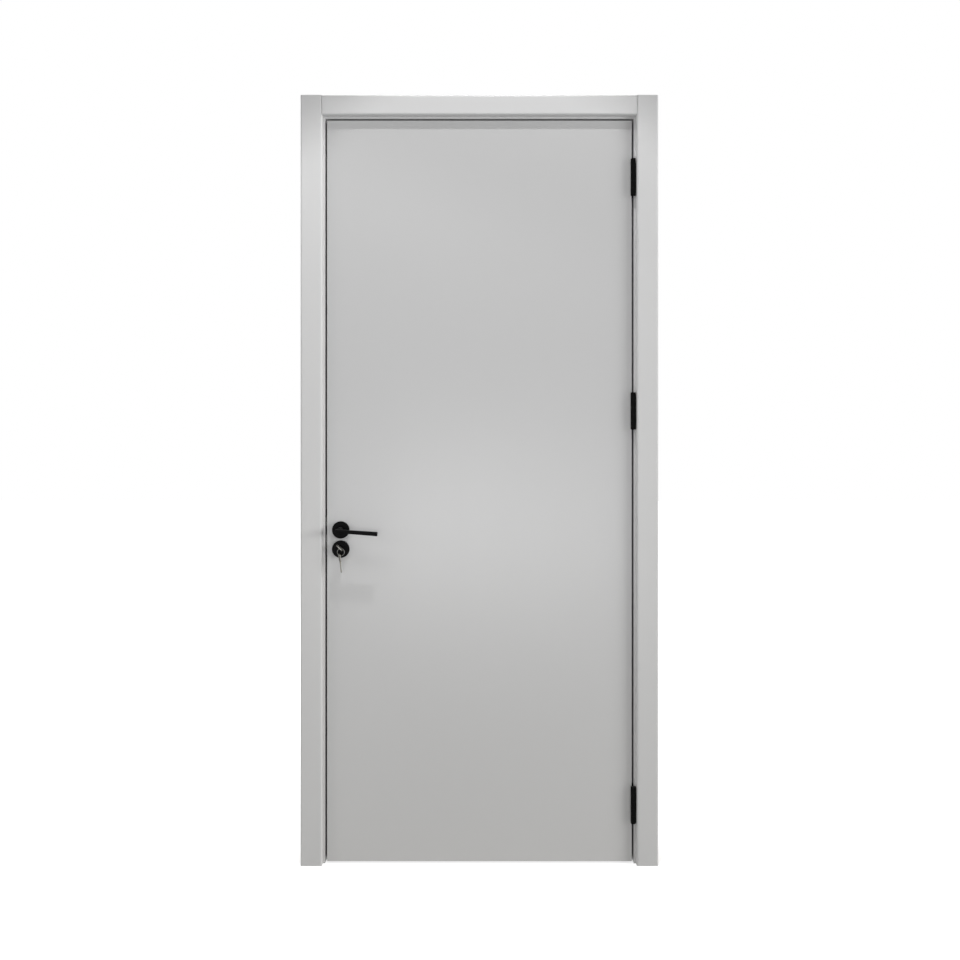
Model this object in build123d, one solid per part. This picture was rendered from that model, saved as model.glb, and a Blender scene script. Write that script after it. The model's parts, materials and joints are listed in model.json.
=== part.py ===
from build123d import *
import os
from math import cos, radians, sin

# A flush door in its lining, with casings on both sides, three butt hinges,
# lever handles on round roses and a keyed cylinder lock with two keys.
# Origin: hinge-side lining's outer face, at floor level, halfway through the wall.
# +X runs from the lock edge to the hinge edge, -Y is the side that the door
# opens towards, +Z is up. All sizes are in millimetres.

# Leaf
leaf_width = 850.0
leaf_height = 2065.0
leaf_thickness = 45.0
floor_gap = 6.0
edge_gap = 5.0
edge_bevel = 1.8
leaf_arris = 1.2
skin_thickness = 4.0
stile_width = 40.0
top_rail_height = 60.0
bottom_rail_height = 100.0

# Lining, stops and seals
lining_thickness = 40.0
lining_depth = 120.0
stop_thickness = 12.0
stop_depth = 40.0
stop_gap = 3.0
seal_gap = 0.3
seal_width = 4.5
seal_inset = 0.5
seal_round = 1.2

# Casings
casing_width = 60.0
head_casing_height = 54.0
casing_thickness = 18.0
casing_reveal = 6.0
casing_round = 5.0

# Hinges
hinge_height = 100.0
hinge_plate_width = 35.0
hinge_plate_thickness = 3.0
barrel_radius = 7.0
barrel_gap = 1.0
knuckle_count = 5
knuckle_gap = 0.4
knuckle_chamfer = 0.4
pin_radius = 4.0
pin_clearance = 0.1
pin_tip_height = 1.5
pin_tip_chamfer = 0.8
top_hinge_drop = 160.0
middle_hinge_drop = 650.0
bottom_hinge_rise = 160.0
recess_clearance = 0.1
hinge_back_screw_inset = 9.0
hinge_back_screw_margin = 12.0
hinge_front_screw_inset = 24.0
hinge_front_screw_margin = 35.0

# Countersunk screw holes
screw_head_radius = 3.9
screw_shank_radius = 2.1
screw_clearance = 0.2
countersink_depth = 1.9

# Lock
spindle_height = 930.0
backset = 39.0
key_spacing = 47.5
case_depth = 60.0
case_height = 150.0
case_thickness = 15.0
case_center_drop = 18.0
forend_height = 190.0
forend_width = 20.0
forend_thickness = 3.0
forend_inset = 0.2
forend_screw_margin = 8.0
bolt_thickness = 12.0
latch_height = 16.0
latch_rise = 22.0
dead_bolt_height = 32.0
dead_bolt_drop = 34.0
bolt_length = 26.0
bolt_inset = 0.5
lock_clearance = 0.3

# Strike
strike_height = 150.0
strike_width = 24.0
strike_thickness = 2.5
strike_hole_width = 17.0
strike_hole_margin = 3.0
strike_pocket_depth = 22.0
strike_screw_margin = 8.0

# Lever handles
rose_radius = 24.0
rose_thickness = 8.5
rose_round = 2.0
neck_radius = 8.0
neck_round = 2.0
neck_clearance = 0.3
grip_standoff = 50.0
grip_depth = 12.0
grip_heel = 9.0
grip_reach = 107.0
grip_root_height = 9.6
grip_tip_height = 11.5
grip_round = 2.5
grip_droop = 4.2
lever_face_gap = 0.5
spindle_size = 8.0
spindle_socket = 28.0
spindle_clearance = 0.05
spindle_bore_radius = 9.0

# Cylinder and its plug
key_rose_drop = 6.0
cylinder_radius = 8.5
cylinder_web = 10.0
cylinder_height = 33.0
cylinder_proud = 2.0
cylinder_clearance = 0.3
plug_radius = 6.5
plug_length = 29.0
plug_clearance = 0.1
back_slot_depth = 8.0

# Keys and ring
key_thickness = 2.2
key_slot_clearance = 0.15
blade_width = 8.0
blade_length = 27.5
blade_cut_depth = 1.6
blade_cut_count = 5
key_collar_width = 10.0
key_collar_length = 2.5
key_proud = 1.5
bow_width = 22.5
bow_length = 22.0
bow_round = 6.0
bow_hole_width = 12.4
bow_hole_length = 6.5
bow_end_bar = 3.0
key_turned = 46.5
ring_radius = 9.85
wire_radius = 0.75
ring_drop = 5.7
ring_aside = 2.4
ring_seat_gap = 0.5
spare_key_turn = 8.0
spare_key_tilt = 5.0
spare_key_offset = 1.2

# Places worked out from the sizes above
front_y = -lining_depth / 2
back_y = lining_depth / 2
lining_outer_hinge = 0.0
lining_inner_hinge = lining_outer_hinge - lining_thickness
leaf_hinge_edge = lining_inner_hinge - edge_gap
leaf_lock_edge = leaf_hinge_edge - leaf_width
lining_inner_lock = leaf_lock_edge - edge_gap
lining_outer_lock = lining_inner_lock - lining_thickness
leaf_bottom = floor_gap
leaf_top = leaf_bottom + leaf_height
leaf_front = front_y
leaf_back = leaf_front + leaf_thickness
leaf_middle = (leaf_front + leaf_back) / 2
lining_head = leaf_top + edge_gap
lining_top = lining_head + lining_thickness
stop_front = leaf_back + stop_gap
stop_back = stop_front + stop_depth
stop_head = lining_head - stop_thickness
casing_inner_hinge = lining_inner_hinge + casing_reveal
casing_outer_hinge = casing_inner_hinge + casing_width
casing_inner_lock = lining_inner_lock - casing_reveal
casing_outer_lock = casing_inner_lock - casing_width
casing_head = lining_head + casing_reveal
casing_top = casing_head + head_casing_height
hinge_x = (leaf_hinge_edge + lining_inner_hinge) / 2
hinge_y = leaf_front - barrel_gap - barrel_radius
hinge_heights = {
    "top": leaf_top - top_hinge_drop,
    "middle": leaf_top - top_hinge_drop - middle_hinge_drop,
    "bottom": leaf_bottom + bottom_hinge_rise,
}
spindle_x = leaf_lock_edge + backset
spindle_z = spindle_height
plug_z = spindle_z - key_spacing
key_rose_z = plug_z - key_rose_drop
case_z = spindle_z - case_center_drop
forend_face = leaf_lock_edge + edge_bevel + forend_inset
latch_z = spindle_z + latch_rise
dead_bolt_z = spindle_z - dead_bolt_drop
bolt_face = forend_face + bolt_inset
bolt_end = bolt_face + bolt_length
cylinder_front = leaf_front - rose_thickness - cylinder_proud
cylinder_back = leaf_back + rose_thickness + cylinder_proud
key_y = cylinder_front - key_proud
hole_end_y = key_collar_length + bow_length - bow_end_bar
hole_center_y = hole_end_y - bow_hole_length / 2
ring_pivot_reach = (bow_hole_width + bow_width) / 4
ring_pivot_x = spindle_x + ring_pivot_reach * sin(radians(key_turned))
ring_pivot_z = plug_z - ring_pivot_reach * cos(radians(key_turned))
ring_x = ring_pivot_x - ring_aside
ring_y = key_y - hole_center_y
ring_z = ring_pivot_z - ring_drop


# A block between two corners
def block(x0, x1, y0, y1, z0, z1):
    center = Pos((x0 + x1) / 2, (y0 + y1) / 2, (z0 + z1) / 2)
    return center * Box(abs(x1 - x0), abs(y1 - y0), abs(z1 - z0))


# A round bar along Y at one place of the leaf
def bar_along_y(x, z, radius, y0, y1):
    return Pos(x, (y0 + y1) / 2, z) * Rot(90, 0, 0) * Cylinder(radius, abs(y1 - y0))


# The same shape on the other face of the leaf
def other_side(shape):
    return mirror(shape, about=Plane(origin=(0, leaf_middle, 0), z_dir=(0, 1, 0)))


# The same shape on the other face of the lining
def other_wall_side(shape):
    return mirror(shape, about=Plane.XZ)


# A countersunk hole whose mouth is on the face at x; inward is the way into the plate
def screw_hole(x, y, z, inward, depth):
    mouth = screw_head_radius + screw_clearance
    bore = screw_shank_radius + screw_clearance
    hole = Pos(0, 0, -countersink_depth / 2) * Cone(bore, mouth, countersink_depth)
    hole += Pos(0, 0, -depth / 2) * Cylinder(bore, depth)
    return Pos(x, y, z) * Rot(0, -90 * inward, 0) * hole


# Lining, stops and seals

def hinge_lining():
    leg = block(lining_inner_hinge, lining_outer_hinge, front_y, back_y, 0, lining_head)
    for z in hinge_heights.values():
        leg -= hinge_recess(lining_inner_hinge, 1, z)
    return leg


def lock_lining():
    leg = block(lining_outer_lock, lining_inner_lock, front_y, back_y, 0, lining_head)
    leg -= strike_blank(recess_clearance)
    for z, height in strike_holes():
        leg -= strike_hole(z, height, strike_pocket_depth)
    return leg


def lining_head_piece():
    return block(lining_outer_lock, lining_outer_hinge, front_y, back_y, lining_head, lining_top)


def side_stop(face, inward):
    return block(face, face + inward * stop_thickness, stop_front, stop_back, 0, stop_head)


def head_stop():
    return block(lining_inner_lock, lining_inner_hinge, stop_front, stop_back, stop_head, lining_head)


def rounded_strip(x0, x1, z0, z1, along):
    strip = block(x0, x1, leaf_back + seal_gap, stop_front, z0, z1)
    front_edges = strip.edges().filter_by(along).group_by(Axis.Y)[0]
    return fillet(front_edges, seal_round)


def side_seal(face, inward):
    inner = face + inward * (stop_thickness - seal_inset)
    outer = inner - inward * seal_width
    return rounded_strip(inner, outer, 0, stop_head + seal_inset, Axis.Z)


def head_seal():
    x0 = lining_inner_lock + stop_thickness - seal_inset - seal_width
    x1 = lining_inner_hinge - stop_thickness + seal_inset + seal_width
    z0 = stop_head + seal_inset
    return rounded_strip(x0, x1, z0, z0 + seal_width, Axis.X)


# Casings on the front; the back ones are their mirror images

def casing_leg(x0, x1):
    leg = block(x0, x1, front_y - casing_thickness, front_y, 0, casing_top)
    return fillet(leg.edges().filter_by(Axis.Z).group_by(Axis.Y)[0], casing_round)


def casing_head_piece():
    y0 = front_y - casing_thickness
    head = block(casing_inner_lock, casing_inner_hinge, y0, front_y, casing_head, casing_top)
    return fillet(head.edges().filter_by(Axis.X).group_by(Axis.Y)[0], casing_round)


# Hinges: three knuckles and a plate on the lining, two and a plate on the leaf

def hinge_plate_block(face, inward, z, clearance):
    half = hinge_height / 2 + clearance
    y1 = front_y + hinge_plate_width + clearance
    return block(face, face + inward * hinge_plate_thickness, front_y, y1, z - half, z + half)


def hinge_recess(face, inward, z):
    return hinge_plate_block(face, inward, z, recess_clearance)


def knuckle_span(index, z):
    pitch = (hinge_height + knuckle_gap) / knuckle_count
    low = z - hinge_height / 2 + index * pitch
    return low, low + pitch - knuckle_gap


def hinge_screw_holes(face, inward, z):
    rows = [
        (hinge_back_screw_inset, hinge_back_screw_margin),
        (hinge_front_screw_inset, hinge_front_screw_margin),
    ]
    holes = []
    for inset, margin in rows:
        y = front_y + hinge_plate_width - inset
        spread = hinge_height / 2 - margin
        holes += [screw_hole(face, y, z + rise, inward, hinge_plate_thickness) for rise in (-spread, spread)]
    return holes


def hinge_wing(face, inward, z, indexes):
    wing = hinge_plate_block(face, inward, z, 0)
    for hole in hinge_screw_holes(face, inward, z):
        wing -= hole
    for index in indexes:
        low, high = knuckle_span(index, z)
        knuckle = Cylinder(barrel_radius, high - low)
        knuckle = chamfer(knuckle.edges().filter_by(GeomType.CIRCLE), knuckle_chamfer)
        wing += Pos(hinge_x, hinge_y, (low + high) / 2) * knuckle
        wing += block(face, face + inward * hinge_plate_thickness, hinge_y, front_y, low, high)
    return wing - Pos(hinge_x, hinge_y, z) * Cylinder(pin_radius + pin_clearance, hinge_height)


def hinge_pin(z):
    tip = Cylinder(barrel_radius, pin_tip_height)
    tip = chamfer(tip.edges().group_by(Axis.Z)[-1], pin_tip_chamfer)
    rise = (hinge_height + pin_tip_height) / 2
    pin = Cylinder(pin_radius, hinge_height) + Pos(0, 0, rise) * tip + Pos(0, 0, -rise) * Rot(180, 0, 0) * tip
    return Pos(hinge_x, hinge_y, z) * pin


# Leaf: skins on a timber frame with a core

def leaf_outline():
    corners = [
        (leaf_lock_edge, leaf_front),
        (leaf_hinge_edge, leaf_front),
        (leaf_hinge_edge, leaf_back),
        (leaf_lock_edge + edge_bevel, leaf_back),
    ]
    face = make_face(Polyline(*corners, close=True))
    return Pos(0, 0, leaf_bottom) * extrude(face, leaf_height, dir=(0, 0, 1))


def leaf_layer(x0, x1, y0, y1, z0, z1):
    return leaf_outline() & block(x0, x1, y0, y1, z0, z1)


def leaf_cuts():
    cuts = [hinge_recess(leaf_hinge_edge, -1, z) for z in hinge_heights.values()]
    cuts.append(bar_along_y(spindle_x, spindle_z, spindle_bore_radius, leaf_front, leaf_back))
    cuts.append(cylinder_shape(cylinder_clearance, leaf_front, leaf_back))
    cuts.append(lock_case_blank(lock_clearance))
    cuts.append(forend_blank(recess_clearance, leaf_lock_edge))
    return cuts


def cut_for_hardware(piece):
    for cut in leaf_cuts():
        piece -= cut
    return piece


def skin(y0, y1, outer_group):
    sheet = leaf_layer(leaf_lock_edge, leaf_hinge_edge, y0, y1, leaf_bottom, leaf_top)
    rim = sheet.faces().sort_by(Axis.Y)[outer_group].edges()
    return cut_for_hardware(fillet(rim, leaf_arris))


def leaf_frame_pieces():
    y0 = leaf_front + skin_thickness
    y1 = leaf_back - skin_thickness
    inner_lock = leaf_lock_edge + stile_width
    inner_hinge = leaf_hinge_edge - stile_width
    core_bottom = leaf_bottom + bottom_rail_height
    core_top = leaf_top - top_rail_height
    return {
        "lock_stile": (leaf_lock_edge, inner_lock, y0, y1, leaf_bottom, leaf_top),
        "hinge_stile": (inner_hinge, leaf_hinge_edge, y0, y1, leaf_bottom, leaf_top),
        "top_rail": (inner_lock, inner_hinge, y0, y1, core_top, leaf_top),
        "bottom_rail": (inner_lock, inner_hinge, y0, y1, leaf_bottom, core_bottom),
        "leaf_core": (inner_lock, inner_hinge, y0, y1, core_bottom, core_top),
    }


# Mortise lock in the leaf's edge, and the strike plate in the lining

def lock_case_blank(clearance):
    half_y = case_thickness / 2 + clearance
    half_z = case_height / 2 + clearance
    x1 = forend_face + forend_thickness + case_depth + clearance
    y0 = leaf_middle - half_y
    return block(forend_face + forend_thickness, x1, y0, y0 + 2 * half_y, case_z - half_z, case_z + half_z)


def forend_blank(clearance, x0):
    half_y = forend_width / 2 + clearance
    half_z = forend_height / 2 + clearance
    y0 = leaf_middle - half_y
    return block(x0, forend_face + forend_thickness, y0, y0 + 2 * half_y, case_z - half_z, case_z + half_z)


def bolt(z, height, clearance, x0, x1):
    half_y = bolt_thickness / 2 + clearance
    half_z = height / 2 + clearance
    y0 = leaf_middle - half_y
    return block(x0, x1, y0, y0 + 2 * half_y, z - half_z, z + half_z)


def bolt_hollows():
    x1 = bolt_end + lock_clearance
    latch = bolt(latch_z, latch_height, lock_clearance, forend_face, x1)
    return latch + bolt(dead_bolt_z, dead_bolt_height, lock_clearance, forend_face, x1)


def lock_case():
    case = lock_case_blank(0) - bolt_hollows()
    corner_radius = spindle_size / 2 ** 0.5
    case -= bar_along_y(spindle_x, spindle_z, corner_radius + lock_clearance, leaf_front, leaf_back)
    return case - cylinder_shape(cylinder_clearance, leaf_front, leaf_back)


def lock_forend():
    plate = forend_blank(0, forend_face) - bolt_hollows()
    spread = forend_height / 2 - forend_screw_margin
    for z in (case_z - spread, case_z + spread):
        plate -= screw_hole(forend_face, leaf_middle, z, 1, forend_thickness)
    return plate


def strike_blank(clearance):
    half_y = strike_width / 2 + clearance
    half_z = strike_height / 2 + clearance
    y0 = leaf_middle - half_y
    x0 = lining_inner_lock - strike_thickness
    return block(x0, lining_inner_lock, y0, y0 + 2 * half_y, case_z - half_z, case_z + half_z)


def strike_holes():
    return [
        (latch_z, latch_height + 2 * strike_hole_margin),
        (dead_bolt_z, dead_bolt_height + 2 * strike_hole_margin),
    ]


def strike_hole(z, height, depth):
    half_y = strike_hole_width / 2
    y0 = leaf_middle - half_y
    x0 = lining_inner_lock - depth
    return block(x0, lining_inner_lock, y0, y0 + 2 * half_y, z - height / 2, z + height / 2)


def strike_plate():
    plate = strike_blank(0)
    for z, height in strike_holes():
        plate -= strike_hole(z, height, strike_pocket_depth)
    spread = strike_height / 2 - strike_screw_margin
    for z in (case_z - spread, case_z + spread):
        plate -= screw_hole(lining_inner_lock, leaf_middle, z, -1, strike_thickness)
    return plate


# Lever handle and its rose on the front; the back ones are their mirror images

def rose(z):
    disc = bar_along_y(spindle_x, z, rose_radius, leaf_front - rose_thickness, leaf_front)
    front_rim = disc.faces().sort_by(Axis.Y)[0].edges()
    return fillet(front_rim, rose_round)


def lever_rose():
    y0 = leaf_front - rose_thickness
    return rose(spindle_z) - bar_along_y(spindle_x, spindle_z, neck_radius + neck_clearance, y0, leaf_front)


def key_rose():
    return rose(key_rose_z) - cylinder_shape(cylinder_clearance, leaf_front - rose_thickness, leaf_front)


def grip():
    root = grip_root_height / 2
    tip = grip_tip_height / 2
    corners = [(-grip_heel, -root), (grip_reach, -tip), (grip_reach, tip), (-grip_heel, root)]
    side = Plane.XZ * make_face(Polyline(*corners, close=True))
    bar = extrude(side, grip_depth / 2, both=True)
    long_edges = bar.edges().filter_by(lambda edge: edge.length > grip_reach / 2)
    bar = fillet(long_edges, grip_round)
    return Pos(spindle_x, leaf_front - grip_standoff, spindle_z) * Rot(0, grip_droop, 0) * bar


def lever():
    end_y = leaf_front - grip_standoff + grip_depth / 2 - grip_round
    neck = bar_along_y(spindle_x, spindle_z, neck_radius, end_y, leaf_front - lever_face_gap)
    neck = fillet(neck.faces().sort_by(Axis.Y)[0].edges(), neck_round)
    half = spindle_size / 2 + spindle_clearance
    y0 = leaf_front - lever_face_gap - spindle_socket
    socket = block(spindle_x - half, spindle_x + half, y0, leaf_front, spindle_z - half, spindle_z + half)
    return neck + grip() - socket


def spindle():
    half = spindle_size / 2
    y0 = leaf_front - lever_face_gap - spindle_socket + spindle_clearance
    y1 = leaf_back + lever_face_gap + spindle_socket - spindle_clearance
    return block(spindle_x - half, spindle_x + half, y0, y1, spindle_z - half, spindle_z + half)


# Cylinder: a round housing with a rounded web below it, and the plug that the key turns

def cylinder_shape(clearance, y0, y1):
    half = cylinder_web / 2 + clearance
    web_z = plug_z + cylinder_radius - cylinder_height + cylinder_web / 2
    shape = bar_along_y(spindle_x, plug_z, cylinder_radius + clearance, y0, y1)
    shape += block(spindle_x - half, spindle_x + half, y0, y1, web_z, plug_z)
    return shape + bar_along_y(spindle_x, web_z, half, y0, y1)


def key_slot(turn, y0, y1):
    width = key_thickness + 2 * key_slot_clearance
    height = blade_width + 2 * key_slot_clearance
    middle = Pos(spindle_x, (y0 + y1) / 2, plug_z)
    return middle * Rot(0, turn, 0) * Box(width, y1 - y0, height)


def lock_cylinder():
    body = cylinder_shape(0, cylinder_front, cylinder_back)
    y1 = cylinder_front + plug_length + plug_clearance
    body -= bar_along_y(spindle_x, plug_z, plug_radius + plug_clearance, cylinder_front, y1)
    return body - key_slot(0, cylinder_back - back_slot_depth, cylinder_back)


def cylinder_plug():
    y1 = cylinder_front + plug_length
    plug = bar_along_y(spindle_x, plug_z, plug_radius, cylinder_front, y1)
    return plug - key_slot(-key_turned, cylinder_front, y1)


# Key: the bow lies along -Y and the blade along +Y, both in the YZ plane

def blade_cut(index):
    pitch = blade_length / (blade_cut_count + 1)
    size = blade_cut_depth * 2 ** 0.5
    place = Pos(0, pitch * (index + 1), blade_width / 2)
    return place * Rot(45, 0, 0) * Box(key_thickness * 2, size, size)


def key_blank():
    blade = Pos(0, blade_length / 2, 0) * Box(key_thickness, blade_length, blade_width)
    for index in range(blade_cut_count):
        blade -= blade_cut(index)
    collar = Pos(0, -key_collar_length / 2, 0) * Box(key_thickness, key_collar_length, key_collar_width)
    outline = RectangleRounded(bow_length, bow_width, bow_round)
    opening = RectangleRounded(bow_hole_length, bow_hole_width, bow_hole_length * 0.49)
    plate = extrude(Plane.YZ * outline, key_thickness / 2, both=True)
    hole = extrude(Plane.YZ * opening, key_thickness, both=True)
    bow = Pos(0, -key_collar_length - bow_length / 2, 0) * plate
    return blade + collar + bow - Pos(0, -hole_center_y, 0) * hole


def key():
    return Pos(spindle_x, key_y, plug_z) * Rot(0, -key_turned, 0) * key_blank()


def key_ring():
    return Pos(ring_x, ring_y, ring_z) * Rot(90, 0, 0) * Torus(ring_radius, wire_radius)


# The spare key hangs from the ring's lowest stretch, nearly edge-on
def spare_key():
    hanging = Rot(-90, 0, 0) * Pos(0, hole_end_y, 0) * key_blank()
    seat_z = ring_z - ring_radius + wire_radius + ring_seat_gap
    seat = Pos(ring_x - spare_key_offset, ring_y, seat_z)
    return seat * Rot(0, -spare_key_tilt, 0) * Rot(0, 0, spare_key_turn) * hanging


def build_nodes():
    nodes = {
        "lining_hinge_side": hinge_lining(),
        "lining_lock_side": lock_lining(),
        "lining_head": lining_head_piece(),
        "stop_hinge_side": side_stop(lining_inner_hinge, -1),
        "stop_lock_side": side_stop(lining_inner_lock, 1),
        "stop_head": head_stop(),
        "seal_hinge_side": side_seal(lining_inner_hinge, -1),
        "seal_lock_side": side_seal(lining_inner_lock, 1),
        "seal_head": head_seal(),
        "strike_plate": strike_plate(),
    }
    casings = {
        "casing_hinge_side": casing_leg(casing_inner_hinge, casing_outer_hinge),
        "casing_lock_side": casing_leg(casing_outer_lock, casing_inner_lock),
        "casing_head": casing_head_piece(),
    }
    for name, shape in casings.items():
        nodes["front_" + name] = shape
        nodes["back_" + name] = other_wall_side(shape)
    for place, z in hinge_heights.items():
        nodes["hinge_lining_plate_" + place] = hinge_wing(lining_inner_hinge, 1, z, (0, 2, 4))
        nodes["hinge_leaf_plate_" + place] = hinge_wing(leaf_hinge_edge, -1, z, (1, 3))
        nodes["hinge_pin_" + place] = hinge_pin(z)
    nodes["leaf_front_skin"] = skin(leaf_front, leaf_front + skin_thickness, 0)
    nodes["leaf_back_skin"] = skin(leaf_back - skin_thickness, leaf_back, -1)
    for name, extent in leaf_frame_pieces().items():
        nodes[name] = cut_for_hardware(leaf_layer(*extent))
    nodes["lock_case"] = lock_case()
    nodes["lock_forend"] = lock_forend()
    nodes["latch_bolt"] = bolt(latch_z, latch_height, 0, bolt_face, bolt_end)
    nodes["dead_bolt"] = bolt(dead_bolt_z, dead_bolt_height, 0, bolt_face, bolt_end)
    handles = {"lever_rose": lever_rose(), "key_rose": key_rose(), "lever": lever()}
    for name, shape in handles.items():
        nodes["front_" + name] = shape
        nodes["back_" + name] = other_side(shape)
    nodes["spindle"] = spindle()
    nodes["lock_cylinder"] = lock_cylinder()
    nodes["cylinder_plug"] = cylinder_plug()
    nodes["key"] = key()
    nodes["key_ring"] = key_ring()
    nodes["spare_key"] = spare_key()
    return nodes


os.makedirs("parts", exist_ok=True)
for node, solid in build_nodes().items():
    export_step(solid, f"parts/{node}.step")
print("swing axis", round(hinge_x, 2), round(hinge_y, 2))
print("key axis", round(spindle_x, 2), round(plug_z, 2), "ring pivot", round(ring_pivot_x, 2), round(ring_pivot_z, 2))
print("ring centre", round(ring_x, 2), round(ring_y, 2), round(ring_z, 2))
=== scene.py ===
import json
import math
import bpy
import bmesh
from mathutils import Matrix, Vector


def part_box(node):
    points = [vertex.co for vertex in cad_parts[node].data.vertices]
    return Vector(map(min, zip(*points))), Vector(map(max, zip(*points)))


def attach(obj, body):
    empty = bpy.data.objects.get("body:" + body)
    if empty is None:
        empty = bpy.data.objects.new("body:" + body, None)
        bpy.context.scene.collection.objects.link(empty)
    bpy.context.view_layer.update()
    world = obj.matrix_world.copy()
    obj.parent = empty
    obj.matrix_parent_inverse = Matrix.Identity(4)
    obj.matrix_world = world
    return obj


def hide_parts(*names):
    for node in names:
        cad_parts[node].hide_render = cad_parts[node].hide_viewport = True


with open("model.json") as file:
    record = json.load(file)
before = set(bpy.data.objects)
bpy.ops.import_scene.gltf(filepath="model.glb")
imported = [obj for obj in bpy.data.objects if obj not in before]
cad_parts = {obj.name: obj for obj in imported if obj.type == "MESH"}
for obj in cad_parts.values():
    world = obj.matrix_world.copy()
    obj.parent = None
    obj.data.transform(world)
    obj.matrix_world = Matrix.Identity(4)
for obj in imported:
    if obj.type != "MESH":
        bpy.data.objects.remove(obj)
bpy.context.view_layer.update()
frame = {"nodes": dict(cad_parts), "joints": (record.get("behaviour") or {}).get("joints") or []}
nodes = frame["nodes"]
mm = 0.001                                      # pieces are sized in mm, finishes and studio in metres
hinges = ("top", "middle", "bottom")


# Shader maths

class Signal:                                   # one socket, so that sums on it add Math nodes
    def __init__(self, graph, socket):
        self.graph = graph
        self.socket = socket

    def join(self, operation, other, swapped=False):
        first, second = (other, self) if swapped else (self, other)
        return self.graph.add("ShaderNodeMath", {"operation": operation}, {0: first, 1: second})

    def __add__(self, other):
        return self.join("ADD", other)

    def __radd__(self, other):
        return self.join("ADD", other, True)

    def __sub__(self, other):
        return self.join("SUBTRACT", other)

    def __rsub__(self, other):
        return self.join("SUBTRACT", other, True)

    def __mul__(self, other):
        return self.join("MULTIPLY", other)

    def __rmul__(self, other):
        return self.join("MULTIPLY", other, True)

    def __gt__(self, other):
        return self.join("GREATER_THAN", other)

    def __lt__(self, other):
        return self.join("LESS_THAN", other)


class Graph:                                    # a node tree with one way to add a node
    def __init__(self, tree):
        self.tree = tree

    def add(self, kind, settings=None, sockets=None, out=0):
        node = self.tree.nodes.new(kind)
        for name, value in (settings or {}).items():
            if name == "stops":
                self.setStops(node.color_ramp, value)
            else:
                setattr(node, name, value)
        for name, value in (sockets or {}).items():
            self.plug(node.inputs[name], value)
        return Signal(self, node.outputs[out]) if node.outputs else None

    def setStops(self, ramp, stops):
        while len(ramp.elements) < len(stops):
            ramp.elements.new(1)
        for element, (place, color) in zip(ramp.elements, stops):
            element.position = place
            element.color = color

    def plug(self, socket, value):
        if isinstance(value, Signal):
            self.tree.links.new(value.socket, socket)
        elif isinstance(value, list):           # several links into one socket
            for each in value:
                self.plug(socket, each)
        elif isinstance(value, tuple) and len(value) == 3 and socket.type == "RGBA":
            socket.default_value = (*value, 1)
        else:
            socket.default_value = value

    def place(self, stretch=(1, 1, 1)):
        spot = self.add("ShaderNodeTexCoord", out="Object")
        return self.add("ShaderNodeMapping", None, {"Vector": spot, "Scale": stretch})

    def axis(self, name):
        spot = self.add("ShaderNodeTexCoord", out="Object")
        return self.add("ShaderNodeSeparateXYZ", None, {0: spot}, name)

    def noise(self, scale, detail=2, stretch=(1, 1, 1), roughness=0.5):
        sockets = {"Vector": self.place(stretch), "Scale": scale, "Detail": detail, "Roughness": roughness}
        return self.add("ShaderNodeTexNoise", None, sockets)

    def ramp(self, value, *stops):
        grey = [(place, (level, level, level, 1)) for place, level in stops]
        return self.add("ShaderNodeValToRGB", {"stops": grey}, {0: value})

    def blend(self, factor, first, second):
        sockets = {"Factor": factor, 6: first, 7: second}
        return self.add("ShaderNodeMix", {"data_type": "RGBA"}, sockets, 2)

    def bump(self, height, strength, distance, under=None):
        sockets = {"Height": height, "Strength": strength, "Distance": distance}
        if under:
            sockets["Normal"] = under
        return self.add("ShaderNodeBump", None, sockets)


class Finish(Graph):                            # a material with its one Principled shader
    def __init__(self, name, roughness, metallic=0.0, specular=0.5):
        self.material = bpy.data.materials.new(name)
        self.material.use_nodes = True
        super().__init__(self.material.node_tree)
        self.shader = self.tree.nodes["Principled BSDF"]
        self.set(Roughness=roughness, Metallic=metallic)
        self.shader.inputs["Specular IOR Level"].default_value = specular

    def set(self, **values):
        for name, value in values.items():
            self.plug(self.shader.inputs[name.replace("_", " ")], value)


# Painted board: casings, lining and stops, brushed along their length. In every finish a pattern's number
# is its fineness, and a bump is a height in metres.

framePaint = {
    "color": (0.672, 0.672, 0.672),
    "shade": (0.647, 0.647, 0.647),
    "footShade": (0.548, 0.544, 0.534),         # painted shade: darker and a little warmer towards the foot, where the light falls off
    "footHeight": 2.1,
    "footShare": 0.9,
    "roughness": 0.38,
    "specular": 0.5,
    "brush": 3.0,
    "brushStretch": (6, 160),                   # along the board, and across it
    "brushBump": 0.0004,
    "cloud": 2.2,
    "stipple": 520,
    "stippleBump": 0.0003,
    "bumpStrength": 0.10,
    "rawColor": (0.33, 0.24, 0.16),             # bare board on the side that fitting hides
    "rawDark": (0.25, 0.18, 0.12),
    "rawGrain": 420,
    "rawRoughness": 0.4,
    "rawMargin": 0.05,
}


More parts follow.
